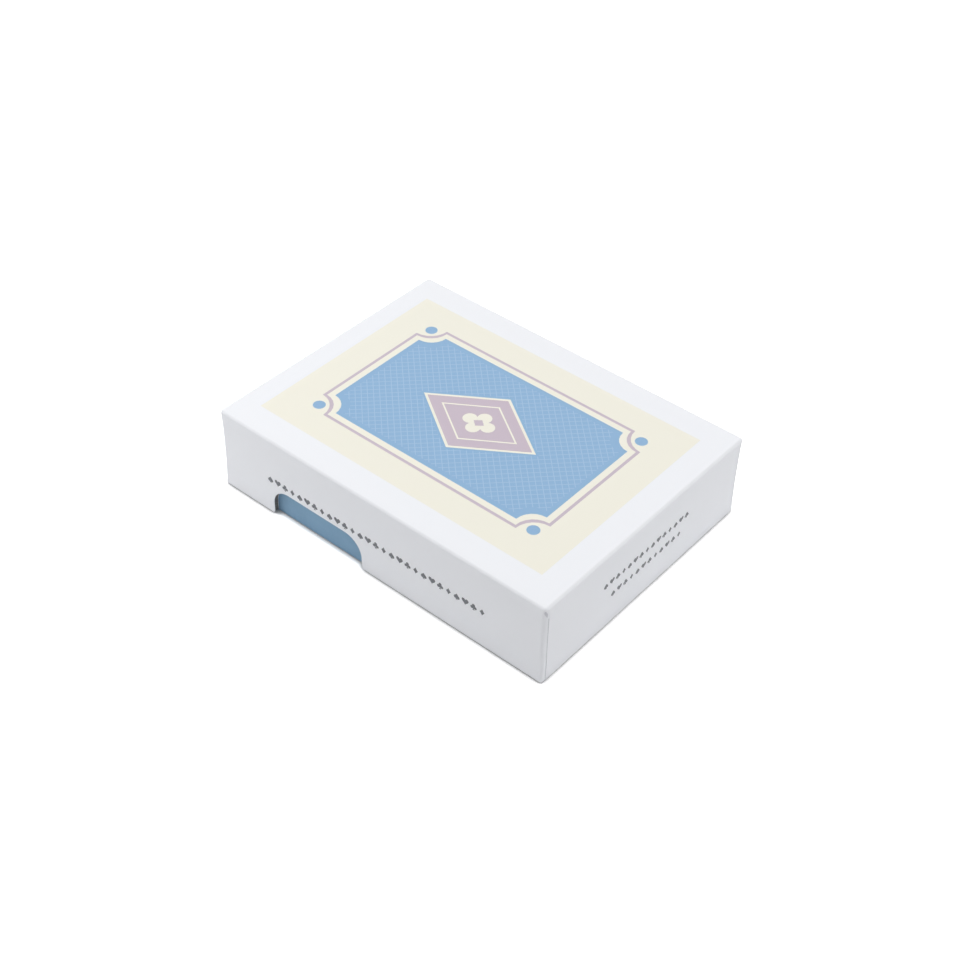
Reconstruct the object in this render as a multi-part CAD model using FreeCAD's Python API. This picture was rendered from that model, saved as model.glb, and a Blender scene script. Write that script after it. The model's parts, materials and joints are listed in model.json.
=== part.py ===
import FreeCAD, Part
import os

# A deck of playing cards in a rigid box: a papered board tray with a lift-off lid as
# deep as the box. Sizes are in millimetres. X runs along the box, Y across it and Z
# up from the table, and the origin is in the middle of the underside. Both long walls
# of the lid have a thumb notch, nearer to the -X end, where the tray shows.

# The cards, face down. The box is worked out from the inside, starting with them.
CARD_LENGTH = 88.0
CARD_WIDTH = 63.0
CARD_THICKNESS = 0.32
CARD_CORNER_RADIUS = 3.2
RANKS = ("ace", "2", "3", "4", "5", "6", "7", "8", "9", "10", "jack", "queen", "king")
RISING_SUITS = ("spades", "diamonds")  # from ace to king, going up the deck
FALLING_SUITS = ("clubs", "hearts")  # from king to ace, above them
JOKERS = 2  # at the bottom of the deck

# The room that the tray leaves round the deck
END_ROOM = 0.72
SIDE_ROOM = 1.52
HEADROOM = 2.46

# The sheets that the box is made of
BOARD = 1.0
WRAP = 0.12  # paper, printed on the lid and coloured on the tray
STAY_TAPE = 0.05  # tape that holds each corner of the board shut, under the wrap
LID_BOARD_RADIUS = 0.58  # on the board, outside, along each fold at the lid's top
LID_CORNER_RADIUS = 0.95  # the same along the lid's upright folds, which are softer
TRAY_BOARD_RADIUS = 0.13  # along every fold of the tray, which is scored deeper

# How the wrap and the tape are cut
LID_TURN_IN = 12.0  # wrap that goes round the lid's rim and up inside
TRAY_TURN_IN = 10.0  # wrap that goes over the tray's rim and down inside
BASE_MARGIN = 13.0  # wrap that goes under the tray
BASE_SHEET_INSET = 1.5  # from the tray's sides to the sheet that covers its underside
STAY_LEG = 9.0  # tape on each side of a corner
STAY_MARGIN = 1.2  # from the ends of the tape to the rim and to the fold

# How the lid sits on the tray
LID_TO_TRAY = 0.2  # on each side
LID_ABOVE_TABLE = 0.3  # the lid hangs on the tray's rim, so its own rim is clear

# The thumb notches
NOTCH_WIDTH = 27.55
NOTCH_HEIGHT = 8.15  # from the lid's rim
NOTCH_RADIUS = 5.0  # its two upper corners
NOTCH_MOUTH_RADIUS = 0.8  # where its sides meet the lid's rim
NOTCH_FROM_END = 16.3  # from the lid's -X end to the notch

OVERSHOOT = 1.0  # how far a cutting shape reaches past what it cuts


def grown(plan, margin):
    """A (length, width) with a margin added all round."""
    length, width = plan
    return length + 2 * margin, width + 2 * margin


# Plans, from the deck outwards
TRAY_ROOM = CARD_LENGTH + 2 * END_ROOM, CARD_WIDTH + 2 * SIDE_ROOM
TRAY_BOARD_INSIDE = grown(TRAY_ROOM, WRAP)
TRAY_BOARD_OUTSIDE = grown(TRAY_BOARD_INSIDE, BOARD)
TRAY_TAPED = grown(TRAY_BOARD_OUTSIDE, STAY_TAPE)
TRAY_OUTSIDE = grown(TRAY_TAPED, WRAP)
LID_ROOM = grown(TRAY_OUTSIDE, LID_TO_TRAY)
LID_BOARD_INSIDE = grown(LID_ROOM, WRAP)
LID_BOARD_OUTSIDE = grown(LID_BOARD_INSIDE, BOARD)
LID_TAPED = grown(LID_BOARD_OUTSIDE, STAY_TAPE)
LID_OUTSIDE = grown(LID_TAPED, WRAP)

# Levels, from the table up
CARDS = JOKERS + len(RANKS) * len(RISING_SUITS + FALLING_SUITS)
BASE_SHEET_TOP = WRAP
TRAY_BOARD_BOTTOM = BASE_SHEET_TOP + WRAP
TRAY_FLOOR = TRAY_BOARD_BOTTOM + BOARD
TRAY_RIM = TRAY_FLOOR + CARDS * CARD_THICKNESS + HEADROOM
LID_CEILING = TRAY_RIM
LID_BOARD_TOP = LID_CEILING + BOARD
LID_TOP = LID_BOARD_TOP + WRAP
LID_RIM = LID_ABOVE_TABLE

# Radii of the folds, from the board outwards
LID_TAPED_RADIUS = LID_BOARD_RADIUS + STAY_TAPE
LID_FOLD_RADIUS = LID_TAPED_RADIUS + WRAP
LID_TAPED_CORNER_RADIUS = LID_CORNER_RADIUS + STAY_TAPE
LID_OUTER_CORNER_RADIUS = LID_TAPED_CORNER_RADIUS + WRAP
TRAY_TAPED_RADIUS = TRAY_BOARD_RADIUS + STAY_TAPE
TRAY_FOLD_RADIUS = TRAY_TAPED_RADIUS + WRAP


def block(plan, low, high):
    """A square-edged block between two levels, centred on the Z axis."""
    length, width = plan
    corner = FreeCAD.Vector(-length / 2, -width / 2, low)
    return Part.makeBox(length, width, high - low, corner)


def folded(plan, low, high, radius, open_level):
    """A block whose edges are all rounded, except those round its open side."""
    solid = block(plan, low, high)
    edges = [e for e in solid.Edges if any(abs(v.Z - open_level) > radius for v in e.Vertexes)]
    return solid.makeFillet(radius, edges)


def upright(plan, low, high, radius):
    """A block with only its four upright edges rounded."""
    solid = block(plan, low, high)
    edges = [e for e in solid.Edges if e.Vertexes[0].Z != e.Vertexes[1].Z]
    return solid.makeFillet(radius, edges)


def soft_cornered(plan, low, high, radius, corner_radius):
    """A block with rounded edges round its top, and upright edges rounded by a larger radius."""
    solid = upright(plan, low, high, corner_radius)
    edges = [e for e in solid.Edges if all(abs(v.Z - high) < 1e-6 for v in e.Vertexes)]
    return solid.makeFillet(radius, edges)


def single(shape):
    """The one solid that a shape holds, with its faces joined where they are flush."""
    return shape.removeSplitter().Solids[0]


def notch_cutter():
    """The notch's outline in the XZ plane, extruded through both long walls of the lid."""
    length, width = LID_OUTSIDE
    left = NOTCH_FROM_END - length / 2
    right = left + NOTCH_WIDTH
    middle = (left + right) / 2
    top = LID_RIM + NOTCH_HEIGHT
    shoulder = top - NOTCH_RADIUS
    mouth = LID_RIM + NOTCH_MOUTH_RADIUS
    below = LID_RIM - OVERSHOOT
    upper_bulge = NOTCH_RADIUS * (1 - 0.5**0.5)
    mouth_bulge = NOTCH_MOUTH_RADIUS * (1 - 0.5**0.5)

    def at(x, z):
        return FreeCAD.Vector(x, -width / 2 - OVERSHOOT, z)

    def half(side, edge):
        """The outline from below the rim up to the middle of the notch's top."""
        flare = edge + side * NOTCH_MOUTH_RADIUS
        inner = edge - side * NOTCH_RADIUS
        mouth_mid = at(edge + side * mouth_bulge, LID_RIM + mouth_bulge)
        corner_mid = at(edge - side * upper_bulge, top - upper_bulge)
        return [
            Part.LineSegment(at(flare, below), at(flare, LID_RIM)).toShape(),
            Part.Arc(at(flare, LID_RIM), mouth_mid, at(edge, mouth)).toShape(),
            Part.LineSegment(at(edge, mouth), at(edge, shoulder)).toShape(),
            Part.Arc(at(edge, shoulder), corner_mid, at(inner, top)).toShape(),
            Part.LineSegment(at(inner, top), at(middle, top)).toShape(),
        ]

    bottom = Part.LineSegment(
        at(left - NOTCH_MOUTH_RADIUS, below), at(right + NOTCH_MOUTH_RADIUS, below)
    ).toShape()
    edges = half(-1, left) + half(1, right) + [bottom]
    outline = Part.Wire(Part.sortEdges(edges)[0])
    return Part.Face(outline).extrude(FreeCAD.Vector(0, width + 2 * OVERSHOOT, 0))


def lid_board():
    """The lid's grey board: a top and four walls, open below."""
    bottom = LID_RIM + WRAP
    outside = soft_cornered(
        LID_BOARD_OUTSIDE, bottom, LID_BOARD_TOP, LID_BOARD_RADIUS, LID_CORNER_RADIUS
    )
    inside = block(LID_BOARD_INSIDE, bottom - OVERSHOOT, LID_CEILING)
    return single(outside.cut(inside).cut(notch_cutter()))


def lid_wrap():
    """The lid's printed paper, which goes round the rim and up inside the walls."""
    skin = soft_cornered(LID_OUTSIDE, LID_RIM, LID_TOP, LID_FOLD_RADIUS, LID_OUTER_CORNER_RADIUS)
    rim_top = LID_RIM + WRAP
    board = soft_cornered(
        LID_TAPED, rim_top, LID_BOARD_TOP, LID_TAPED_RADIUS, LID_TAPED_CORNER_RADIUS
    )
    turn_in = block(LID_BOARD_INSIDE, rim_top, LID_RIM + LID_TURN_IN)
    room = block(LID_ROOM, LID_RIM - OVERSHOOT, LID_RIM + LID_TURN_IN + OVERSHOOT)
    paper = skin.cut(board).fuse(turn_in).cut(room)
    return single(paper.cut(notch_cutter()))


def tray_board():
    """The tray's grey board: a base and four walls, open above."""
    top = TRAY_RIM - WRAP
    outside = folded(TRAY_BOARD_OUTSIDE, TRAY_BOARD_BOTTOM, top, TRAY_BOARD_RADIUS, top)
    inside = block(TRAY_BOARD_INSIDE, TRAY_FLOOR, top + OVERSHOOT)
    return single(outside.cut(inside))


def tray_wrap():
    """The tray's coloured paper, over the rim, down inside, and a margin under the base."""
    skin = folded(TRAY_OUTSIDE, BASE_SHEET_TOP, TRAY_RIM, TRAY_FOLD_RADIUS, TRAY_RIM)
    rim_bottom = TRAY_RIM - WRAP
    board = folded(TRAY_TAPED, TRAY_BOARD_BOTTOM, rim_bottom, TRAY_TAPED_RADIUS, rim_bottom)
    turn_in = block(TRAY_BOARD_INSIDE, TRAY_RIM - TRAY_TURN_IN, rim_bottom)
    room = block(TRAY_ROOM, TRAY_RIM - TRAY_TURN_IN - OVERSHOOT, TRAY_RIM + OVERSHOOT)
    window = block(grown(TRAY_OUTSIDE, -BASE_MARGIN), 0, TRAY_FLOOR)
    return single(skin.cut(board).fuse(turn_in).cut(room).cut(window))


def tray_base_sheet():
    """The paper that covers the tray's underside and the margins of the wrap."""
    return block(grown(TRAY_OUTSIDE, -BASE_SHEET_INSET), 0, BASE_SHEET_TOP)


def corner_stays(board_plan, taped_plan, board_radius, low, high):
    """Four strips of tape, each bent round an upright corner of the board."""
    tube = upright(taped_plan, low, high, board_radius + STAY_TAPE)
    tube = tube.cut(upright(board_plan, low, high, board_radius))
    length, width = taped_plan
    between_ends = block((length - 2 * STAY_LEG, width + OVERSHOOT), low, high)
    between_sides = block((length + OVERSHOOT, width - 2 * STAY_LEG), low, high)
    return tube.cut(between_ends).cut(between_sides)


def lid_corner_stays():
    low = LID_RIM + WRAP + STAY_MARGIN
    high = LID_BOARD_TOP - LID_FOLD_RADIUS - STAY_MARGIN
    return corner_stays(LID_BOARD_OUTSIDE, LID_TAPED, LID_CORNER_RADIUS, low, high)


def tray_corner_stays():
    low = TRAY_BOARD_BOTTOM + TRAY_FOLD_RADIUS + STAY_MARGIN
    high = TRAY_RIM - WRAP - STAY_MARGIN
    return corner_stays(TRAY_BOARD_OUTSIDE, TRAY_TAPED, TRAY_BOARD_RADIUS, low, high)


def card(place):
    """The card that lies at a place in the deck, counted from 0 at the bottom."""
    low = TRAY_FLOOR + place * CARD_THICKNESS
    return upright((CARD_LENGTH, CARD_WIDTH), low, low + CARD_THICKNESS, CARD_CORNER_RADIUS)


def deck():
    """Every card's name and solid. The jokers are alike and share one name."""
    names = [f"card_{suit}_{rank}" for suit in RISING_SUITS for rank in RANKS]
    names += [f"card_{suit}_{rank}" for suit in FALLING_SUITS for rank in reversed(RANKS)]
    cards = {name: card(JOKERS + place) for place, name in enumerate(names)}
    cards["cards_jokers"] = Part.makeCompound([card(place) for place in range(JOKERS)])
    return cards


pieces = {
    "lid_board": lid_board(),
    "lid_wrap": lid_wrap(),
    "lid_corner_stays": lid_corner_stays(),
    "tray_board": tray_board(),
    "tray_wrap": tray_wrap(),
    "tray_corner_stays": tray_corner_stays(),
    "tray_base_sheet": tray_base_sheet(),
    **deck(),
}

os.makedirs("parts", exist_ok=True)
for name, shape in pieces.items():
    shape.exportStep(f"parts/{name}.step")
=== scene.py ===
"""Looks of a deck of playing cards in its rigid box.

Sizes here are in millimetres, and MM brings them to metres. Lamps are placed in metres.
"""

import json
import math

import bmesh
import bpy
from mathutils import Matrix, Vector
from mathutils.geometry import delaunay_2d_cdt

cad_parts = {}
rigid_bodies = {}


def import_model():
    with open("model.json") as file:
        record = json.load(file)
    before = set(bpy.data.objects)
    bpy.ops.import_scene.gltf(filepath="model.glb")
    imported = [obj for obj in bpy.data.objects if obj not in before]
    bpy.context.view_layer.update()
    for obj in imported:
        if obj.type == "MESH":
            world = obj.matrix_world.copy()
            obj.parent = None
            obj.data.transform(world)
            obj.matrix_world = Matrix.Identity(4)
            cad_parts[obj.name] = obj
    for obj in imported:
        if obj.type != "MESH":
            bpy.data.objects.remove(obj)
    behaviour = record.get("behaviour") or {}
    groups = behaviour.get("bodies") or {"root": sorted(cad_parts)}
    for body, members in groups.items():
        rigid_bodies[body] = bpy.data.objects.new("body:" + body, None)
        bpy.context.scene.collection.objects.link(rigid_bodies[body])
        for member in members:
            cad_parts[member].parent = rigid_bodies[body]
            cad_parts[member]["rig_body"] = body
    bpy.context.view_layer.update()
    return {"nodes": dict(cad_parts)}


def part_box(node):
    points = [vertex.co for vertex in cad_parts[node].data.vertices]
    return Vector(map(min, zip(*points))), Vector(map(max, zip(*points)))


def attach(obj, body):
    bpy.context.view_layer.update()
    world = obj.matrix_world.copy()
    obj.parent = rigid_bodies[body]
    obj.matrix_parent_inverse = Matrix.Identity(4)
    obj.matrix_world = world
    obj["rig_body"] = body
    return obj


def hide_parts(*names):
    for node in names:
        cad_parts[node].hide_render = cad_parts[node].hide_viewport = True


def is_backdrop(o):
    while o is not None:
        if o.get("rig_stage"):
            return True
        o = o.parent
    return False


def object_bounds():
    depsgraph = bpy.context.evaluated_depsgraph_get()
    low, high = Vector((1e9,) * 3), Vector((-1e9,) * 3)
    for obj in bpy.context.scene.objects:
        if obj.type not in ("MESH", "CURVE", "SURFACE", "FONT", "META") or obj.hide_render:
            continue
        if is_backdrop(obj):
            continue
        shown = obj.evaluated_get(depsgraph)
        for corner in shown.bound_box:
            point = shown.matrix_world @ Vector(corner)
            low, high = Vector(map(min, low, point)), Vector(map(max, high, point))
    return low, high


MM = 0.001
X, Y, Z = Vector((1, 0, 0)), Vector((0, 1, 0)), Vector((0, 0, 1))
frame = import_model()
scene = bpy.context.scene
nodes = frame["nodes"]

# Sizes that the printed pieces share with the solids
HALF_LENGTH, HALF_WIDTH = 47.5, 35.8  # the lid, outside
LID_RIM, LID_TOP = 0.3, 22.1
PAPER = 0.12
TAPED = 0.12  # from the lid's outside to the space for the board
BOARD_FACE = 1.17  # from the lid's outside to the board's inner face
ROOM = 1.29  # from the lid's outside to the room inside it
TURN_IN = 12.0  # how far the paper goes up inside
NOTCH_LEFT, NOTCH_RIGHT, NOTCH_TOP = -31.2, -3.65, 8.45
NOTCH_RADIUS, MOUTH_RADIUS = 5.0, 0.8
CARD_HALF_LENGTH, CARD_HALF_WIDTH = 44.0, 31.5
CARD_THICK, CARD_RADIUS = 0.32, 3.2

# The folds of the lid's paper. A corner is the radius of an upright fold, in plan.
FOLD = 0.7  # radius of the folds round the lid's top
RIM_CORNER, MIDDLE_CORNER, TOP_CORNER = 0.45, 1.15, 0.85
WALL_CORNERS = ((0.8, 5.0), (MIDDLE_CORNER, 10.0), (MIDDLE_CORNER, 18.0))  # corners and their levels
FACE_CORNER, ROOM_CORNER = 0.13, 0.01  # where the paper is turned in
BACK = 0.03  # how much further in the paper's back is at the ends, where its face is further in too
FLAP = 0.06  # how far the end flaps stand out from the paper beside them
FLAP_LOW = 0.04  # how far above the rim they end
FLAP_ROOT = 0.1  # how deep they are rooted in the paper beside them
FLAP_DIP = 0.09  # how much lower their roots lie over the fold
FLAP_TAPER = 0.3  # how much they narrow on each side over the fold
FLAP_SUNK = 0.006  # how far their ends lie under the top
SEAM_TOP, SEAM_BOTTOM = 1.15, 1.38  # from the long sides to the edges of the end flaps
SEAM_HIGH = 19.1  # where the flaps' cut-off upper corners begin
CUT_OFF = 0.8  # from the long sides to the flaps' edges above the cut-off
SEAM_GROOVE, SEAM_DEPTH = 0.22, 0.03  # the gap along each edge of a flap
GROOVE_LAP = 0.04  # how far the gap reaches into the flap
NICK_LOW, NICK_HIGH = SEAM_HIGH - 0.12, LID_TOP - 0.72
NICK_DEPTH = 0.05
DENT_FLOOR = 58.33  # from the middle of the box to the tucked paper at the top of each upright fold
DENT_OUTLINE = [  # across the upright fold and up
    (-0.3, 20.75),
    (-0.05, 20.1),
    (0.3, 19.6),
    (0.62, 19.5),
    (0.55, 20.3),
    (0.3, 21.0),
    (0.05, 21.4),
    (-0.25, 21.3),
]
NEAR = 0.002  # how close to a level a face is that lies on it


# ---------------------------------------------------------------- materials

# The colour sockets of a Mix node, where names stand for several sockets each
MIX_FIRST, MIX_SECOND, MIX_RESULT = 6, 7, 2


def emptied(owner):
    """The node tree of a material or a world, with nothing in it."""
    owner.use_nodes = True
    owner.node_tree.nodes.clear()
    return owner.node_tree


def new_material(name, even):
    """A material, its node tree, its shader and the object's own coordinates.

    The shader has the values that are even all over.
    """
    material = bpy.data.materials.new(name)
    nt = emptied(material)
    shader = nt.nodes.new("ShaderNodeBsdfPrincipled")
    for socket, value in even.items():
        shader.inputs[socket].default_value = value
    output = nt.nodes.new("ShaderNodeOutputMaterial")
    nt.links.new(shader.outputs["BSDF"], output.inputs["Surface"])
    where = nt.nodes.new("ShaderNodeTexCoord").outputs["Object"]
    return material, nt, shader, where


def combined(nt, operation, first, second):
    """Two values brought together by a Math node."""
    node = nt.nodes.new("ShaderNodeMath")
    node.operation = operation
    nt.links.new(first, node.inputs[0])
    nt.links.new(second, node.inputs[1])
    return node.outputs[0]


def noise(nt, where, scale, detail=2.0, roughness=0.5, stretch=None):
    """A noise height from 0 to 1. The scale is in features per metre."""
    if stretch:
        mapping = nt.nodes.new("ShaderNodeMapping")
        mapping.inputs["Scale"].default_value = stretch
        nt.links.new(where, mapping.inputs["Vector"])
        where = mapping.outputs["Vector"]
    node = nt.nodes.new("ShaderNodeTexNoise")
    node.inputs["Scale"].default_value = scale
    node.inputs["Detail"].default_value = detail
    node.inputs["Roughness"].default_value = roughness
    nt.links.new(where, node.inputs["Vector"])
    return node.outputs["Fac"]


def spread(nt, value, low, high, from_low=0.3, from_high=0.7):
    """A value brought to another range. Noise lies mostly between 0.3 and 0.7."""
    node = nt.nodes.new("ShaderNodeMapRange")
    nt.links.new(value, node.inputs["Value"])
    for key, number in (
        ("From Min", from_low),
        ("From Max", from_high),
        ("To Min", low),
        ("To Max", high),
    ):
        node.inputs[key].default_value = number
    return node.outputs["Result"]


def mixed(nt, share, first, second):
    """A colour between two colours."""
    node = nt.nodes.new("ShaderNodeMix")
    node.data_type = "RGBA"
    nt.links.new(share, node.inputs["Factor"])
    for place, colour in ((MIX_FIRST, first), (MIX_SECOND, second)):
        if isinstance(colour, tuple):
            node.inputs[place].default_value = (*colour, 1)
        else:
            nt.links.new(colour, node.inputs[place])
    return node.outputs[MIX_RESULT]


def bumped(nt, shader, height, depth):
    """Gives the shader a relief of that depth in metres."""
    bump = nt.nodes.new("ShaderNodeBump")
    bump.inputs["Strength"].default_value = 1.0
    bump.inputs["Distance"].default_value = depth
    nt.links.new(height, bump.inputs["Height"])
    nt.links.new(bump.outputs["Normal"], shader.inputs["Normal"])


def paper(name, colour):
    """Printed or plain paper: an even colour with a fine fibre grain in its relief and gloss."""
    even = {"Base Color": (*colour, 1), "Specular IOR Level": 0.35}
    material, nt, shader, where = new_material(name, even)
    fibres = noise(nt, where, 2600, detail=4.0, roughness=0.6)
    nt.links.new(spread(nt, fibres, 0.5, 0.62), shader.inputs["Roughness"])
    bumped(nt, shader, fibres, 9e-6)
    return material


def linen(name, colour):
    """Card stock with the fine woven embossing that playing cards have, under a clear varnish."""
    even = {"Base Color": (*colour, 1), "Roughness": 0.38, "Specular IOR Level": 0.45}
    material, nt, shader, where = new_material(name, even)
    waves = []
    for direction in ("X", "Y"):
        wave = nt.nodes.new("ShaderNodeTexWave")
        wave.bands_direction = direction
        wave.inputs["Scale"].default_value = 560
        nt.links.new(where, wave.inputs["Vector"])
        waves.append(wave.outputs["Fac"])
    bumped(nt, shader, combined(nt, "MULTIPLY", *waves), 6e-6)
    return material


def plain_edge(name, colour):
    """The cut edge of card stock: matt, with a fine fibre relief."""
    even = {"Base Color": (*colour, 1), "Roughness": 0.8, "Specular IOR Level": 0.2}
    material, nt, shader, where = new_material(name, even)
    bumped(nt, shader, noise(nt, where, 3200, detail=4.0, roughness=0.6), 4e-6)
    return material


def fleck(name, base, dark, light):
    """Grey board: pulped fibres of several greys, rough all over."""
    material, nt, shader, where = new_material(name, {"Roughness": 0.92, "Specular IOR Level": 0.2})
    cloud = noise(nt, where, 1500, detail=5.0, roughness=0.7)
    broad = noise(nt, where, 160)
    colour = mixed(nt, spread(nt, cloud, 0, 1), dark, light)
    colour = mixed(nt, spread(nt, broad, 0.35, 0.75), colour, base)
    nt.links.new(colour, shader.inputs["Base Color"])
    bumped(nt, shader, cloud, 4e-5)
    return material


def dyed(name, colour, deep):
    """Through-dyed paper: a slightly clouded colour with a laid grain."""
    material, nt, shader, where = new_material(name, {"Specular IOR Level": 0.3})
    cloud = noise(nt, where, 420, detail=4.0, roughness=0.6)
    nt.links.new(mixed(nt, spread(nt, cloud, 0, 1), deep, colour), shader.inputs["Base Color"])
    grain = noise(nt, where, 2400, detail=3.0, stretch=(1, 1, 2.5))
    nt.links.new(spread(nt, grain, 0.55, 0.7), shader.inputs["Roughness"])
    bumped(nt, shader, grain, 1.2e-5)
    return material


def tape(name, colour, deep):
    """Gummed paper tape, with its fibres along the strip."""
    material, nt, shader, where = new_material(name, {})
    strands = noise(nt, where, 900, detail=4.0, stretch=(1, 1, 0.12))
    nt.links.new(mixed(nt, spread(nt, strands, 0, 1), deep, colour), shader.inputs["Base Color"])
    nt.links.new(spread(nt, strands, 0.42, 0.6), shader.inputs["Roughness"])
    bumped(nt, shader, strands, 1.5e-5)
    return material


# The printed papers, and the colours painted into the lid's grooves and dents, in the order of the
# material slots of every printed mesh
INKS = {
    "white": (0.897, 0.911, 0.945),
    "cream": (0.89, 0.87, 0.765),
    "blue": (0.275, 0.455, 0.675),
    "line": (0.36, 0.53, 0.73),
    "mauve": (0.585, 0.50, 0.575),
    "dark": (0.14, 0.145, 0.16),
    "red": (0.5, 0.022, 0.038),
    "gold": (0.62, 0.44, 0.16),
    # seam: the floor of the groove along each end flap's edge, a grey joint line darkened further as
    # painted shade
    "seam_joint_and_shade": (0.6, 0.605, 0.635),
    # tucked: the floor of the dent at the top of each upright fold, a grey-blue painted shade of its
    # hollow
    "tucked_shade": (0.7, 0.705, 0.755),
}
CARD_INKS = {**INKS, "dark": (0.03, 0.031, 0.035)}
SLOT = {ink: place for place, ink in enumerate(INKS)}
EDGE = len(SLOT)
wrap_inks = [paper(f"wrap_{ink}", colour) for ink, colour in INKS.items()]
card_inks = [linen(f"card_{ink}", colour) for ink, colour in CARD_INKS.items()]
card_edge = plain_edge("card_edge", (0.86, 0.85, 0.82))


# ---------------------------------------------------------------- flat shapes


def arc(x, y, radius, start, sweep, count):
    """Points along an arc. Angles are in degrees."""
    turns = [math.radians(start + sweep * i / (count - 1)) for i in range(count)]
    return [(x + radius * math.cos(t), y + radius * math.sin(t)) for t in turns]


def disc(x, y, radius, count=14):
    return arc(x, y, radius, 0, 360 * (count - 1) / count, count)


def rectangle(x, y, half_x, half_y):
    return [
        (x - half_x, y - half_y),
        (x + half_x, y - half_y),
        (x + half_x, y + half_y),
        (x - half_x, y + half_y),
    ]


def lozenge(x, y, half_x, half_y):
    return [(x + half_x, y), (x, y + half_y), (x - half_x, y), (x, y - half_y)]


def scooped(x, y, half_x, half_y, radius):
    """A rectangle with a quarter circle cut out of each corner."""
    outline = []
    for side_x, side_y, start in ((1, -1, 180), (1, 1, 270), (-1, 1, 0), (-1, -1, 90)):
        outline += arc(x + side_x * half_x, y + side_y * half_y, radius, start, -90, 7)
    return outline


def star(x, y, outer, inner, points):
    turns = [math.pi / 2 + math.pi * i / points for i in range(2 * points)]
    radii = [outer if i % 2 == 0 else inner for i in range(2 * points)]
    return [(x + r * math.cos(t), y + r * math.sin(t)) for r, t in zip(radii, turns)]


def heart():
    """A heart one unit high, on the common curve of sines and cosines, 30 wide and 29 high."""
    count, low = 26, 2.55
    outline = []
    for i in range(count):
        t = -2 * math.pi * i / count
        high = 13 * math.cos(t) - 5 * math.cos(2 * t) - 2 * math.cos(3 * t) - math.cos(4 * t)
        outline.append((16 * math.sin(t) ** 3 / 30, (high + low) / 29))
    return outline


def stem():
    """The foot of a spade or a club."""
    half_foot, half_neck, height = 0.17, 0.025, 0.42
    left = [
        (-half_foot * (1 - s) ** 2 - half_neck, -0.5 + height * s) for s in (1, 0.75, 0.5, 0.25, 0)
    ]
    right = [(-x, y) for x, y in reversed(left)]
    return left + right


def pip(suit):
    """The outlines of a suit's pip, one unit high."""
    if suit == "hearts":
        return [heart()]
    if suit == "spades":
        return [[(-x * 0.86, 0.07 - y * 0.86) for x, y in heart()], stem()]
    if suit == "clubs":
        return [
            disc(0, 0.255, 0.245),
            disc(-0.255, -0.085, 0.235),
            disc(0.255, -0.085, 0.235),
            disc(0, 0.05, 0.13, 8),
            stem(),
        ]
    waist = [(0.38, 0), (0.17, 0.235), (0, 0.5), (-0.17, 0.235)]
    return [waist + [(-x, -y) for x, y in waist]]


def placed(outlines, x, y, size, upright=True):
    """Outlines of one unit scaled and moved, and turned over where they stand on their head."""
    side = size if upright else -size
    return [[(x + side * px, y + side * py) for px, py in outline] for outline in outlines]


def inked(outlines, ink):
    return [(outline, ink) for outline in outlines]


def both_ways(shapes):
    """Shapes and the same shapes turned by half a turn."""
    return shapes + [([(-x, -y) for x, y in outline], ink) for outline, ink in shapes]


def area(outline):
    pairs = zip(outline, outline[1:] + outline[:1])
    return sum(ax * by - bx * ay for (ax, ay), (bx, by) in pairs) / 2


def inside(point, outline):
    """Even-odd test of a point in an outline."""
    x, y = point
    odd = False
    for (ax, ay), (bx, by) in zip(outline, outline[1:] + outline[:1]):
        if (ay > y) != (by > y) and x < (bx - ax) * (y - ay) / (by - ay) + ax:
            odd = not odd
    return odd


def linked(name, data):
    """A new object in the scene."""
    piece = bpy.data.objects.new(name, data)
    scene.collection.objects.link(piece)
    return piece


def rank_outlines(text):
    """The outlines of a rank's numeral or initial, one unit high, each with whether it is a hole.

    They are taken from Blender's own font.
    """
    curve = bpy.data.curves.new("rank", "FONT")
    curve.body = text
    curve.fill_mode = "NONE"
    curve.resolution_u = 3
    if len(text) > 1:
        curve.space_character = 0.8
    carrier = linked("rank", curve)
    bpy.context.view_layer.update()
    mesh = carrier.evaluated_get(bpy.context.evaluated_depsgraph_get()).to_mesh()
    beside = {}
    for edge in mesh.edges:
        a, b = edge.vertices
        beside.setdefault(a, []).append(b)
        beside.setdefault(b, []).append(a)
    places = [(v.co.x, v.co.y) for v in mesh.vertices]
    bpy.data.objects.remove(carrier)
    bpy.data.curves.remove(curve)
    loops, used = [], set()
    for start in beside:
        if start in used:
            continue
        loop, here = [], start
        while here is not None:
            used.add(here)
            loop.append(places[here])
            here = next((n for n in beside[here] if n not in used), None)
        loops.append(loop)
    xs = [x for loop in loops for x, _ in loop]
    ys = [y for loop in loops for _, y in loop]
    height = max(ys) - min(ys)
    middle_x, middle_y = (max(xs) + min(xs)) / 2, (max(ys) + min(ys)) / 2
    scaled = []
    for loop in loops:
        hole = sum(inside(loop[0], other) for other in loops if other is not loop) % 2 == 1
        points = [((x - middle_x) / height, (y - middle_y) / height) for x, y in loop]
        scaled.append((points, hole))
    return sorted(scaled, key=lambda item: item[1])


# ---------------------------------------------------------------- the print

PANEL_X, PANEL_Y = 41.0, 28.46  # half sizes of the panel of the box's top and the card backs
FIELD_X, FIELD_Y = 31.06, 18.99  # and of the field in it
SCOOP = 4.6  # radius of the field's scooped corners
LATTICE, DIAMOND = 2.0, 0.86  # the lattice's pitch and half a diamond in it
CLEAR = 0.05  # between a diamond and the field's edge
CLEAR_X, CLEAR_Y = 14.62, 9.976  # half sizes of the lozenge that no diamond has its middle in
PANEL_SHIFT = -0.5  # where the lid's panel has its middle

PIP_WIDTH = 0.8  # of a pip one unit high
# Rows of pips on the lid's walls: left end, right end, height, size and count
SIDE_ROW = (-32.5, 31.8, 10.3, 1.8, 28)
END_ROWS = ((-15.6, 15.3, 13.2, 1.6, 15), (-12.6, 13.0, 9.0, 1.6, 12))

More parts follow.
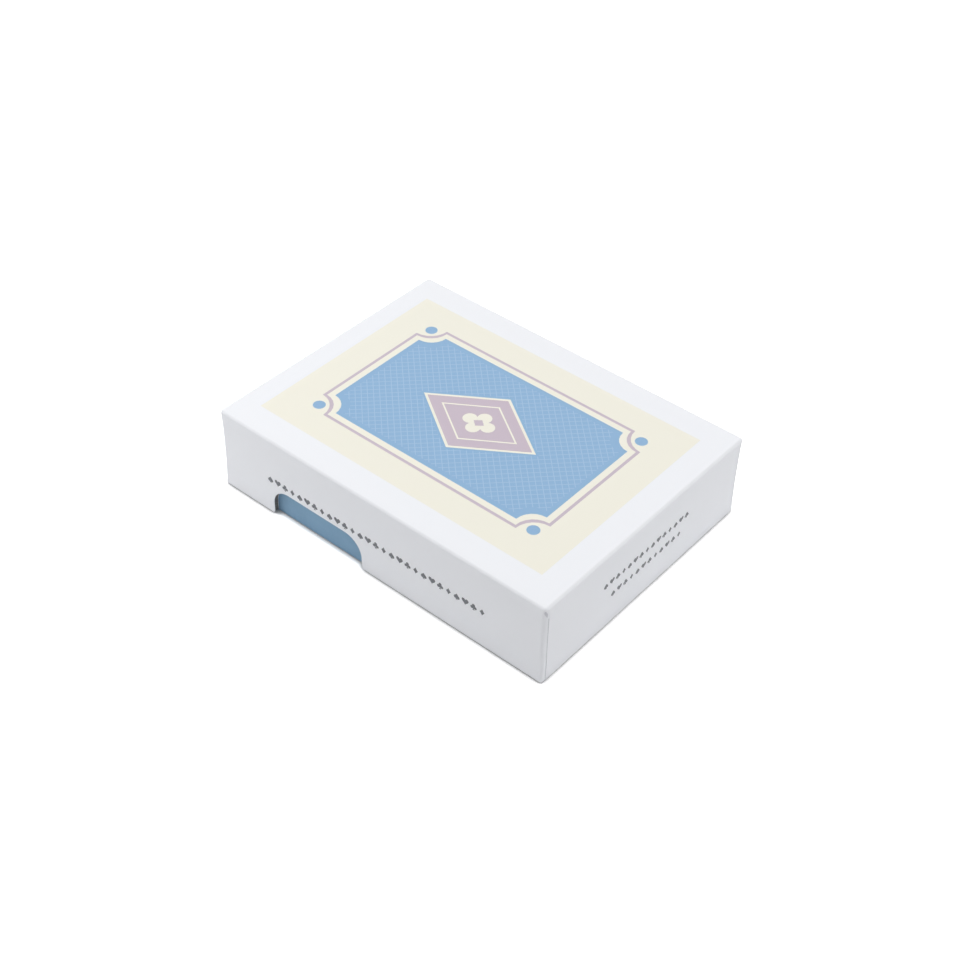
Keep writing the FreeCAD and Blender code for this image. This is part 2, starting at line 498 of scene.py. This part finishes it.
COLUMN, ROW = 10.6, 25.5  # from the middle of a number card to its outer pips
THIRD = ROW / 3
INDEX_X, INDEX_Y, INDEX_SIZE = -26.6, 37.4, 6.2  # the rank in a card's corner
INDEX_PIP_Y, INDEX_PIP_SIZE = 29.9, 4.8  # the pip below it
STAR_Y = 37.0  # the star in a joker's corner
HEAD_X, BROW = 1.5, 10.3  # the middle and the lower edge of what a court card's emblem wears


def back_design(x, y):
    """The ornament of the card backs and of the box's top.

    It is a panel, a scooped field of fine lattice and a lozenge in its middle.
    """
    shapes = [(rectangle(x, y, PANEL_X, PANEL_Y), "cream")]
    for grown, rounder, ink in (
        (2.3, 0.6, "mauve"),
        (1.55, 0.45, "cream"),
        (0, 0, "blue"),
        (-1.3, 0.25, "line"),
    ):
        shapes.append((scooped(x, y, FIELD_X + grown, FIELD_Y + grown, SCOOP + rounder), ink))
    columns, rows = int(FIELD_X / LATTICE) + 1, int(FIELD_Y / LATTICE) + 1
    for column in range(-2 * columns, 2 * columns + 1):
        for row in range(-2 * rows, 2 * rows + 1):
            if (column + row) % 2:
                continue
            dx, dy = column * LATTICE / 2, row * LATTICE / 2
            if abs(dx) + DIAMOND > FIELD_X - CLEAR or abs(dy) + DIAMOND > FIELD_Y - CLEAR:
                continue
            if math.hypot(FIELD_X - abs(dx), FIELD_Y - abs(dy)) < SCOOP + DIAMOND + CLEAR:
                continue
            if abs(dx) / CLEAR_X + abs(dy) / CLEAR_Y < 1:
                continue
            shapes.append((lozenge(x + dx, y + dy, DIAMOND, DIAMOND), "blue"))
    for half_x, half_y, ink in (
        (17.6, 12.0, "blue"),
        (16.6, 11.3, "cream"),
        (15.5, 10.5, "mauve"),
        (11.2, 7.5, "cream"),
        (10.5, 7.0, "mauve"),
    ):
        shapes.append((lozenge(x, y, half_x, half_y), ink))
    for dx, dy in ((2.6, 0), (-2.6, 0), (0, 2.1), (0, -2.1)):
        shapes.append((disc(x + dx, y + dy, 1.75, 18), "cream"))
    shapes.append((lozenge(x, y, 1.5, 1.25), "mauve"))
    for side_x in (-1, 1):
        for side_y in (-1, 1):
            corner = x + side_x * (FIELD_X + 0.3), y + side_y * (FIELD_Y + 0.3)
            shapes.append((disc(*corner, 1.5, 16), "blue"))
    return shapes


def pip_row(left, right, y, size, count):
    """A row of small pips, suit after suit."""
    shapes = []
    width = size * PIP_WIDTH
    step = (right - left - width) / (count - 1)
    for i in range(count):
        suit = ("spades", "hearts", "clubs", "diamonds")[i % 4]
        shapes += inked(placed(pip(suit), left + width / 2 + i * step, y, size), "dark")
    return shapes


def pip_places(count):
    """Where the pips of a number card stand."""
    if count < 4:
        rows = []
    elif count < 6:
        rows = [ROW, -ROW]
    elif count < 9:
        rows = [ROW, 0, -ROW]
    else:
        rows = [ROW, THIRD, -THIRD, -ROW]
    middle = {
        2: [ROW, -ROW],
        3: [ROW, 0, -ROW],
        5: [0],
        7: [ROW / 2],
        8: [ROW / 2, -ROW / 2],
        9: [0],
        10: [2 * THIRD, -2 * THIRD],
    }.get(count, [])
    return [(x, y) for x in (-COLUMN, COLUMN) for y in rows] + [(0, y) for y in middle]


def emblem(rank, suit, ink):
    """The upper half of a court card: a crown, a coronet or a plumed cap, and a pip."""
    shapes = [
        (rectangle(0, 16.5, 19.3, 16.5), ink),
        (rectangle(0, 16.3, 18.8, 16.3), "cream"),
        (rectangle(0, 1.2, 18.8, 1.2), "mauve"),
    ]
    shapes += [(lozenge(x, 1.2, 1.3, 0.8), "cream") for x in range(-16, 17, 4)]
    shapes += inked(placed(pip(suit), -14.2, 27.6, 6.0), ink)
    shapes.append((rectangle(HEAD_X, 8.6, 10.2, 1.5), "blue"))
    shapes += [(disc(HEAD_X + x, 8.6, 0.7, 10), "gold") for x in (-8, -4, 0, 4, 8)]
    if rank == "king":
        crown = [(-8.7, BROW), (11.7, BROW), (13.9, 22.0), (7.7, 15.6)]
        crown += [(HEAD_X, 25.5), (-4.7, 15.6), (-10.9, 22.0)]
        shapes.append((crown, "gold"))
        shapes += [(disc(x, y, 1.35, 12), ink) for x, y in ((13.9, 22.8), (HEAD_X, 26.4), (-10.9, 22.8))]
        shapes.append((lozenge(HEAD_X, 15.2, 1.6, 3.0), "blue"))
    elif rank == "queen":
        for x, radius in ((-5.3, 3.1), (HEAD_X, 3.7), (8.3, 3.1)):
            dome = arc(x, 13.2, radius, 0, 180, 12) + [(x - radius, BROW), (x + radius, BROW)]
            shapes.append((dome, "gold"))
            shapes.append((disc(x, 13.4, radius * 0.5, 12), "mauve"))
            shapes.append((disc(x, 13.2 + radius + 1.4, 1.2, 12), ink))
    else:
        shapes.append((arc(HEAD_X, BROW, 8.2, 0, 180, 18), "gold"))
        shapes.append((arc(HEAD_X, BROW, 6.6, 0, 180, 18), "blue"))
        feather = [(4.0, 17.5), (8.0, 18.5), (13.5, 23.5), (14.8, 29.5), (9.5, 27.5), (5.2, 23.0)]
        shapes.append((feather, ink))
        shapes.append(([(4.0, 17.9), (4.7, 18.1), (13.3, 27.4), (12.9, 27.8)], "cream"))
    return shapes


def face_design(suit, rank):
    """What is printed on a card's face, seen upright."""
    ink = "red" if suit in ("hearts", "diamonds") else "dark"
    label = {"ace": "A", "jack": "J", "queen": "Q", "king": "K"}.get(rank, rank)
    shapes = []
    if rank in ("jack", "queen", "king"):
        shapes += both_ways(emblem(rank, suit, ink))
    elif rank == "ace":
        large = 26.0 if suit == "spades" else 16.0
        shapes += inked(placed(pip(suit), 0, 0, large), ink)
        if suit == "spades":
            shapes += inked(placed(pip(suit), 0, 1.4, 11.0), "white")
            shapes += inked(placed(pip("diamonds"), 0, 2.2, 4.0), "dark")
    else:
        for x, y in pip_places(int(rank)):
            shapes += inked(placed(pip(suit), x, y, 9.2, y >= 0), ink)
    corner = []
    for outline, hole in ranks[label]:
        corner += inked(placed([outline], INDEX_X, INDEX_Y, INDEX_SIZE), "white" if hole else ink)
    corner += inked(placed(pip(suit), INDEX_X, INDEX_PIP_Y, INDEX_PIP_SIZE), ink)
    return shapes + both_ways(corner)


def joker_design(ink):
    """A joker's face: a star in a ring, and a small star in place of a rank."""
    shapes = [
        (disc(0, 0, 18.5, 48), ink),
        (disc(0, 0, 17.9, 48), "cream"),
        (star(0, 0, 16.5, 7.2, 8), "blue"),
        (star(0, 0, 13.5, 5.6, 8), "mauve"),
        (star(0, 0, 8.5, 3.4, 5), ink),
    ]
    return shapes + both_ways([(star(INDEX_X, STAR_Y, 3.4, 1.4, 5), ink)])


# ---------------------------------------------------------------- meshes


def inlay(bm, faces, axes, shapes):
    """Cuts flat faces of one plane up along the outlines of the shapes.

    Each ink is then made of faces of its own. A later shape lies on an earlier one, and
    all of them on white.
    """
    axis_u, axis_v = axes
    outward = faces[0].normal.copy()
    chosen = set(faces)
    rim = {}
    for face in faces:
        for loop in face.loops:
            if not any(other in chosen for other in loop.edge.link_faces if other is not face):
                rim[loop.vert] = loop.link_loop_next.vert
    first = next(iter(rim))
    border = [first]
    while rim[border[-1]] is not first:
        border.append(rim[border[-1]])
    if len(border) != len(rim):
        raise ValueError("the flat region has more than one border")

    level = outward * border[0].co.dot(outward)
    points = [Vector((v.co.dot(axis_u) / MM, v.co.dot(axis_v) / MM)) for v in border]
    outlines = [list(range(len(border)))]
    for outline, _ in shapes:
        outline = outline if area(outline) > 0 else outline[::-1]
        outlines.append(list(range(len(points), len(points) + len(outline))))
        points += [Vector(p) for p in outline]
    made, _, cells, sources, _, holders = delaunay_2d_cdt(points, [], outlines, 1, 1e-5, True)
    verts = []
    for place, origin in zip(made, sources):
        old = next((i for i in origin if i < len(border)), None)
        if old is not None:
            verts.append(border[old])
        else:
            verts.append(bm.verts.new(level + axis_u * place.x * MM + axis_v * place.y * MM))
    inner = {e for f in faces for e in f.edges if all(other in chosen for other in e.link_faces)}
    bmesh.ops.delete(bm, geom=faces, context="FACES_ONLY")
    if inner:
        bmesh.ops.delete(bm, geom=list(inner), context="EDGES")
    for cell, held_by in zip(cells, holders):
        if 0 not in held_by:
            continue
        face = bm.faces.new([verts[i] for i in cell])
        face.normal_update()
        if face.normal.dot(outward) < 0:
            face.normal_flip()
        top = max(held_by)
        face.material_index = SLOT[shapes[top - 1][1] if top else "white"]


def lofted(rings):
    """A closed mesh through rings of as many points each. A point is (x, y, z) in millimetres."""
    bm = bmesh.new()
    rows = [[bm.verts.new(Vector(p) * MM) for p in points] for points in rings]
    for low, high in zip(rows, rows[1:]):
        for i in range(len(low)):
            j = (i + 1) % len(low)
            bm.faces.new((low[i], low[j], high[j], high[i]))
    bm.faces.new(rows[0][::-1])
    bm.faces.new(rows[-1])
    return bm


def ring(half_x, half_y, radius, z, count=7):
    """A rectangle with rounded corners at a level."""
    points = []
    for side_x, side_y, start in ((1, 1, 0), (-1, 1, 90), (-1, -1, 180), (1, -1, 270)):
        x, y = side_x * (half_x - radius), side_y * (half_y - radius)
        points += [(px, py, z) for px, py in arc(x, y, radius, start, 90, count)]
    return points


def as_object(bm, name, materials=()):
    """The mesh as an object in the scene."""
    mesh = bpy.data.meshes.new(name)
    bm.to_mesh(mesh)
    bm.free()
    for material in materials:
        mesh.materials.append(material)
    return linked(name, mesh)


def settle(piece):
    """Applies the piece's modifiers."""
    bpy.context.view_layer.update()
    depsgraph = bpy.context.evaluated_depsgraph_get()
    mesh = bpy.data.meshes.new_from_object(piece.evaluated_get(depsgraph), depsgraph=depsgraph)
    piece.modifiers.clear()
    old = piece.data
    piece.data = mesh
    bpy.data.meshes.remove(old)


def join(piece, tool, operation):
    """Cuts a tool out of the piece or adds it, and takes the tool away."""
    modifier = piece.modifiers.new("join", "BOOLEAN")
    modifier.operation = operation
    modifier.solver = "EXACT"
    modifier.object = tool
    settle(piece)
    bpy.data.objects.remove(tool)


def shade(piece):
    """Makes the piece smooth over its folds and flat on its flats."""
    sharp_over = math.radians(35)
    bm = bmesh.new()
    bm.from_mesh(piece.data)
    for face in bm.faces:
        face.smooth = True
    for edge in bm.edges:
        if len(edge.link_faces) == 2:
            edge.smooth = edge.calc_face_angle(0) < sharp_over
    bm.to_mesh(piece.data)
    bm.free()
    modifier = piece.modifiers.new("flat", "WEIGHTED_NORMAL")
    modifier.weight = 100
    modifier.keep_sharp = True
    settle(piece)


def prism(outline, low, high, axes):
    """A prism over an outline, along the third axis of axes."""
    axis_u, axis_v, axis_w = axes
    bm = bmesh.new()
    ends = []
    for level in (low, high):
        ends.append([bm.verts.new((axis_u * u + axis_v * v + axis_w * level) * MM) for u, v in outline])
    bm.faces.new(ends[0][::-1])
    bm.faces.new(ends[1])
    for i in range(len(outline)):
        j = (i + 1) % len(outline)
        bm.faces.new((ends[0][i], ends[0][j], ends[1][j], ends[1][i]))
    bmesh.ops.recalc_face_normals(bm, faces=bm.faces)
    return as_object(bm, "tool")


# ---------------------------------------------------------------- the lid's paper


def notch_outline():
    """The thumb notch in the XZ plane, from under the rim."""
    low = LID_RIM - 1
    mouth, top = LID_RIM + MOUTH_RADIUS, NOTCH_TOP - NOTCH_RADIUS
    left = arc(NOTCH_LEFT - MOUTH_RADIUS, mouth, MOUTH_RADIUS, 270, 90, 7)
    left += arc(NOTCH_LEFT + NOTCH_RADIUS, top, NOTCH_RADIUS, 180, -90, 17)
    right = arc(NOTCH_RIGHT - NOTCH_RADIUS, top, NOTCH_RADIUS, 90, -90, 17)
    right += arc(NOTCH_RIGHT + MOUTH_RADIUS, mouth, MOUTH_RADIUS, 180, 90, 7)
    ends = [(NOTCH_RIGHT + MOUTH_RADIUS, low), (NOTCH_LEFT - MOUTH_RADIUS, low)]
    return left + right + ends


def end_flap(side):
    """The paper that is folded down over an end wall, a little proud of the ears beside it.

    Its upper corners are cut off, and over the top's fold it runs out into the top.
    """
    base = HALF_LENGTH - FLAP
    centre = LID_TOP - FOLD
    profile = [(HALF_LENGTH, LID_RIM + FLAP_LOW), (HALF_LENGTH, SEAM_HIGH), (HALF_LENGTH, centre)]
    widths = [SEAM_BOTTOM, SEAM_TOP, CUT_OFF]
    for turn in (15, 30, 45, 60, 72, 82):
        t = math.radians(turn)
        proud = FLAP * math.cos(t) ** 2 - FLAP_SUNK
        x = base - FOLD + (FOLD + proud) * math.cos(t)
        profile.append((x, centre + (FOLD + proud) * math.sin(t)))
        widths.append(CUT_OFF + FLAP_TAPER * turn / 90)
    bm = bmesh.new()
    outer, inner = [], []
    for (x, z), width in zip(profile, widths):
        on_wall = z <= centre
        root = FLAP_ROOT if on_wall else FLAP_ROOT + 0.01
        down = 0 if on_wall else (z - centre) / FOLD * FLAP_DIP
        half = HALF_WIDTH - width
        outer.append([bm.verts.new(Vector((side * x, s * half, z)) * MM) for s in (-1, 1)])
        inner.append([bm.verts.new(Vector((side * (x - root), s * half, z - down)) * MM) for s in (-1, 1)])
    for rows, flip in ((outer, False), (inner, True)):
        for low, high in zip(rows, rows[1:]):
            quad = (low[0], low[1], high[1], high[0])
            bm.faces.new(quad[::-1] if flip else quad)
    for s in (0, 1):
        for i in range(len(outer) - 1):
            bm.faces.new((outer[i][s], outer[i + 1][s], inner[i + 1][s], inner[i][s]))
    for i in (0, -1):
        bm.faces.new((outer[i][0], outer[i][1], inner[i][1], inner[i][0]))
    bmesh.ops.recalc_face_normals(bm, faces=bm.faces)
    return as_object(bm, "tool")


def seam_cutters(side_x, side_y):
    """The tools that shape the paper at one of the lid's upright corners.

    They cut the groove along the flap's edge, the nick that follows its cut-off corner
    above, and the dent at the top of the upright fold, where the paper is tucked in. On
    their open sides they reach past the paper.
    """
    base = HALF_LENGTH - FLAP

    def across(inset):
        return side_y * (HALF_WIDTH - inset)

    low = LID_RIM - 0.3
    groove = [
        (across(SEAM_BOTTOM + GROOVE_LAP), low),
        (across(SEAM_TOP + GROOVE_LAP), SEAM_HIGH),
        (across(SEAM_TOP + GROOVE_LAP - SEAM_GROOVE), SEAM_HIGH),
        (across(SEAM_BOTTOM + GROOVE_LAP - SEAM_GROOVE), low),
    ]
    nick = [
        (across(SEAM_TOP + 0.07), NICK_LOW),
        (across(CUT_OFF + 0.1), NICK_HIGH),
        (across(CUT_OFF - 0.18), NICK_HIGH),
        (across(SEAM_TOP - 0.13), NICK_LOW),
    ]
    tools = []
    for outline, depth in ((groove, SEAM_DEPTH), (nick, NICK_DEPTH)):
        levels = sorted((side_x * (base - depth), side_x * (HALF_LENGTH + 0.5)))
        tools.append(prism(outline, *levels, (Y, Z, X)))
    along = Vector((side_x, -side_y, 0)).normalized()
    outward = Vector((side_x, side_y, 0)).normalized()
    edge = (base - HALF_WIDTH) / math.sqrt(2)
    dent = [(edge + u, z) for u, z in DENT_OUTLINE]
    tools.append(prism(dent, DENT_FLOOR, DENT_FLOOR + 2, (along, Z, outward)))
    return tools


def wrap_shell():
    """The lid's paper: outside, round the rim and up inside, as one closed skin."""
    rings = []
    rim_top = LID_RIM + PAPER

    def round_top(half_x, half_y, corner, fold, top, turns):
        """Rings over the folds round a top."""
        for turn in turns:
            t = math.radians(turn)
            drawn_in = fold * (1 - math.cos(t))
            level = top - fold + fold * math.sin(t)
            rings.append(ring(half_x - drawn_in, half_y - drawn_in, corner - drawn_in, level))

    def round_rim(half_x, half_y, corner, outwards, turns):
        """Rings round one half of the rim's fold, from inside or from outside."""
        for turn in turns:
            t = math.radians(turn)
            off = outwards * PAPER * (1 - math.sin(t))
            rings.append(ring(half_x + off, half_y + off, corner + off, rim_top - PAPER * math.cos(t)))

    back_x, back_y = HALF_LENGTH - TAPED - BACK, HALF_WIDTH - TAPED
    back_corner = MIDDLE_CORNER - TAPED
    round_top(back_x, back_y, back_corner, FOLD - TAPED, LID_TOP - PAPER, (90, 70, 45, 20, 0))
    rings.append(ring(back_x, back_y, back_corner, rim_top))
    for level in (rim_top, LID_RIM + TURN_IN):
        rings.append(ring(HALF_LENGTH - BOARD_FACE, HALF_WIDTH - BOARD_FACE, FACE_CORNER, level))
    room_x, room_y = HALF_LENGTH - ROOM, HALF_WIDTH - ROOM
    rings.append(ring(room_x, room_y, ROOM_CORNER, LID_RIM + TURN_IN))
    round_rim(room_x, room_y, ROOM_CORNER, 1, (90, 60, 30, 0))
    outer_x, outer_y = HALF_LENGTH - FLAP, HALF_WIDTH
    round_rim(outer_x, outer_y, RIM_CORNER, -1, (0, 30, 60, 90))
    for corner, level in WALL_CORNERS:
        rings.append(ring(outer_x, outer_y, corner, level))
    round_top(outer_x, outer_y, TOP_CORNER, FOLD, LID_TOP, (0, 15, 30, 45, 60, 75, 90))
    bm = lofted(rings)
    bmesh.ops.remove_doubles(bm, verts=bm.verts, dist=0.002 * MM)
    bmesh.ops.dissolve_degenerate(bm, edges=bm.edges, dist=0.001 * MM)
    bmesh.ops.recalc_face_normals(bm, faces=bm.faces)
    return as_object(bm, "lid_wrap_printed")


def bare_ink(face):
    """The ink of a face of the lid's paper before the print: the groove floors get a grey joint colour
    darkened further as painted shade, and the dent floors a painted shade.
    """
    middle = face.calc_center_median() / MM
    # A dent's floor gets its painted shade, and a groove's floor its joint colour with painted shade
    if abs((abs(middle.x) + abs(middle.y)) / math.sqrt(2) - DENT_FLOOR) < NEAR:
        return "tucked_shade"
    in_groove = abs(abs(middle.x) - HALF_LENGTH + FLAP + SEAM_DEPTH) < NEAR
    return "seam_joint_and_shade" if in_groove and abs(face.normal.x) > 0.99 else "white"


def lid_wrap():
    """The lid's printed paper, with its flaps and notches."""
    piece = wrap_shell()
    for side in (-1, 1):
        join(piece, end_flap(side), "UNION")
    for side_x in (-1, 1):
        for side_y in (-1, 1):
            for tool in seam_cutters(side_x, side_y):
                join(piece, tool, "DIFFERENCE")
    notches = prism(notch_outline(), -HALF_WIDTH - 1, HALF_WIDTH + 1, (X, Z, Y))
    join(piece, notches, "DIFFERENCE")
    bm = bmesh.new()
    bm.from_mesh(piece.data)
    bm.normal_update()
    for face in bm.faces:
        face.material_index = SLOT[bare_ink(face)]

    def print_on(normal, level, axes, shapes):
        """Prints shapes on the paper's flat faces at a level."""
        flat = []
        for face in bm.faces:
            height = face.calc_center_median().dot(normal) / MM
            if face.normal.dot(normal) > 0.9999 and abs(height - level) < 2 * NEAR:
                flat.append(face)
        inlay(bm, flat, axes, shapes)

    print_on(Z, LID_TOP, (X, Y), back_design(PANEL_SHIFT, 0.0))
    print_on(-Y, HALF_WIDTH, (X, Z), pip_row(*SIDE_ROW))
    print_on(X, HALF_LENGTH, (Y, Z), [shape for row in END_ROWS for shape in pip_row(*row)])
    bmesh.ops.delete(bm, geom=[v for v in bm.verts if not v.link_faces], context="VERTS")
    for material in wrap_inks:
        piece.data.materials.append(material)
    bm.to_mesh(piece.data)
    bm.free()
    shade(piece)
    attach(piece, "lid")
    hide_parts("lid_wrap")


# ---------------------------------------------------------------- the cards


def card_blank():
    """A card as a plate with very slightly broken edges, its back printed, around its own middle."""
    chamfer = 0.035
    levels = ((0, chamfer), (chamfer, 0), (CARD_THICK - chamfer, 0), (CARD_THICK, chamfer))
    rings = [
        ring(CARD_HALF_LENGTH - inset, CARD_HALF_WIDTH - inset, CARD_RADIUS - inset, z, 9)
        for z, inset in levels
    ]
    bm = lofted(rings)
    bm.normal_update()
    for face in bm.faces:
        face.material_index = EDGE
    top = [f for f in bm.faces if f.normal.z > 0.99]
    inlay(bm, top, (X, Y), back_design(0, 0))
    bm.normal_update()
    return bm


def card(name, node, low, shapes):
    """A printed card that stands for a node, with its face down."""
    bm = blank.copy()
    bottom = [f for f in bm.faces if f.normal.z < -0.99]
    inlay(bm, bottom, (Y, X), shapes)
    bmesh.ops.translate(bm, verts=bm.verts, vec=Z * low)
    piece = as_object(bm, name, [*card_inks, card_edge])
    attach(piece, nodes[node]["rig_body"])
    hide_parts(node)


lid_wrap()

LABELS = ("A", "2", "3", "4", "5", "6", "7", "8", "9", "10", "J", "Q", "K")
ranks = {label: rank_outlines(label) for label in LABELS}
blank = card_blank()
for node in sorted(nodes):
    if not node.startswith("card_"):
        continue
    _, suit, rank = node.split("_")
    card(f"{suit}_{rank}_printed", node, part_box(node)[0].z, face_design(suit, rank))
jokers_low, jokers_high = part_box("cards_jokers")
for place, ink in enumerate(("dark", "red")):
    low = jokers_low.z + place * (jokers_high.z - jokers_low.z) / 2
    card(f"joker_{place + 1}_printed", "cards_jokers", low, joker_design(ink))
blank.free()

# ---------------------------------------------------------------- the other pieces

# The lid's board is the same grey board as the tray's, made darker as painted shade for its cut faces in
# the notches
SHADED_BOARD = (0.19, 0.18, 0.168), (0.09, 0.088, 0.083), (0.28, 0.265, 0.245)
GREY_BOARD = (0.27, 0.26, 0.24), (0.15, 0.145, 0.135), (0.38, 0.365, 0.34)
BLUE_PAPER = (0.25, 0.425, 0.6), (0.232, 0.40, 0.57)
BROWN_TAPE = (0.62, 0.50, 0.36), (0.50, 0.39, 0.27)
finishes = {
    "lid_board": fleck("lid_grey_board_shaded", *SHADED_BOARD),
    "tray_board": fleck("tray_grey_board", *GREY_BOARD),
    "tray_wrap": dyed("tray_blue_paper", *BLUE_PAPER),
    "tray_base_sheet": dyed("base_blue_paper", *BLUE_PAPER),
    "lid_corner_stays": tape("lid_stay_tape", *BROWN_TAPE),
    "tray_corner_stays": tape("tray_stay_tape", *BROWN_TAPE),
}
for node, material in finishes.items():
    for slot in nodes[node].material_slots:
        slot.material = material


# ---------------------------------------------------------------- stage, light and camera

# The floor's painted contact shade: for camera rays its colour darkens and its glow fades where a face is
# nearer than this.
CONTACT = 2.0  # how near a face darkens the floor


def backdrop_rays(nt):
    """1 for the rays that show the background: from the camera, and off or through shiny things."""
    path = nt.nodes.new("ShaderNodeLightPath")
    seen = combined(nt, "MAXIMUM", path.outputs["Is Camera Ray"], path.outputs["Is Glossy Ray"])
    return combined(nt, "MAXIMUM", seen, path.outputs["Is Transmission Ray"])


def floor_paper():
    """White paper that shows as white in the background, with a painted contact shade where the object
    closes it in.

    The light that it gives back to the object is that of plain white paper.
    """
    material = bpy.data.materials.new("floor_paper")
    nt = emptied(material)
    seen = backdrop_rays(nt)
    air = nt.nodes.new("ShaderNodeAmbientOcclusion")
    air.samples = 6
    air.inputs["Distance"].default_value = CONTACT * MM
    # Painted contact shadow: ambient occlusion darkens the colour that the camera sees, not the light
    # given back.
    painted_contact_shade = combined(nt, "MULTIPLY", seen, spread(nt, air.outputs["AO"], 0.3, 0.0, 0.5, 0.8))
    diffuse = nt.nodes.new("ShaderNodeBsdfDiffuse")
    colour = mixed(nt, painted_contact_shade, (0.93, 0.93, 0.935), (0.0, 0.0, 0.0))
    nt.links.new(colour, diffuse.inputs["Color"])
    strength = combined(nt, "MULTIPLY", seen, spread(nt, air.outputs["AO"], 0.0, 1.0, 0.5, 1.0))
    glow = nt.nodes.new("ShaderNodeEmission")
    glow.inputs["Color"].default_value = (1, 1, 1, 1)
    nt.links.new(strength, glow.inputs["Strength"])
    both = nt.nodes.new("ShaderNodeAddShader")
    nt.links.new(diffuse.outputs[0], both.inputs[0])
    nt.links.new(glow.outputs[0], both.inputs[1])
    output = nt.nodes.new("ShaderNodeOutputMaterial")
    nt.links.new(both.outputs[0], output.inputs["Surface"])
    return material


def studio():
    """A faint even light all round, which shows as white in the background."""
    world = bpy.data.worlds.new("studio")
    nt = emptied(world)
    choose = nt.nodes.new("ShaderNodeMixShader")
    nt.links.new(backdrop_rays(nt), choose.inputs[0])
    for place, strength in ((1, 0.2), (2, 1.0)):
        light = nt.nodes.new("ShaderNodeBackground")
        light.inputs["Color"].default_value = (1, 1, 1, 1)
        light.inputs["Strength"].default_value = strength
        nt.links.new(light.outputs[0], choose.inputs[place])
    output = nt.nodes.new("ShaderNodeOutputWorld")
    nt.links.new(choose.outputs[0], output.inputs["Surface"])
    return world


def softbox(name, place, target, size, power):
    """A soft square lamp that points at a target. Sizes are in metres."""
    data = bpy.data.lights.new(name, "AREA")
    data.shape = "SQUARE"
    data.size = size
    data.energy = power
    carrier = linked(name, data)
    carrier.location = place
    carrier.rotation_mode = "QUATERNION"
    carrier.rotation_quaternion = (Vector(target) - Vector(place)).to_track_quat("-Z", "Y")


floor_mesh = bmesh.new()
bmesh.ops.create_grid(floor_mesh, x_segments=1, y_segments=1, size=3.0)
as_object(floor_mesh, "floor", [floor_paper()])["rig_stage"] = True
scene.world = studio()

softbox("top_softbox", (0.3, -0.09, 0.94), (0.02, -0.01, 0.02), 0.6, 2.6)
softbox("near_top_softbox", (0.09, -0.06, 0.68), (0.02, -0.01, 0.02), 0.4, 1.55)
softbox("left_softbox", (-0.21, -0.13, 0.12), (-0.03, -0.035, 0.01), 0.14, 0.115)
softbox("low_left_softbox", (-0.32, -0.28, 0.07), (-0.02, -0.035, 0.01), 0.14, 0.085)
softbox("low_right_softbox", (0.30, 0.26, 0.07), (0.0475, 0, 0.01), 0.14, 0.13)
softbox("far_left_softbox", (-0.5, 0.12, 0.28), (-0.04, 0, 0.01), 0.35, 0.6)
softbox("far_right_softbox", (-0.05, 0.52, 0.28), (0, 0.03, 0.01), 0.35, 0.6)

# The camera's place and angles come from the fit to the box's edges
CAMERA_PLACE = Vector((174.86, -214.612, 250.234)) * MM
azimuth, elevation, roll = (math.radians(a) for a in (39.1147, 41.5168, 1.7165))
camera_data = bpy.data.cameras.new("camera")
camera_data.lens = 59.54
camera_data.sensor_width = 36.0
camera_data.clip_start, camera_data.clip_end = 0.01, 20
camera = linked("camera", camera_data)
back = Vector(
    (
        math.sin(azimuth) * math.cos(elevation),
        -math.cos(azimuth) * math.cos(elevation),
        math.sin(elevation),
    )
)
level_right = Z.cross(back).normalized()
level_up = back.cross(level_right)
right = level_right * math.cos(roll) + level_up * math.sin(roll)
up = level_up * math.cos(roll) - level_right * math.sin(roll)
turned = Matrix((right, up, back)).transposed().to_4x4()
camera.matrix_world = Matrix.Translation(CAMERA_PLACE) @ turned
scene.camera = camera
scene.view_settings.view_transform = "Standard"

low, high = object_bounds()
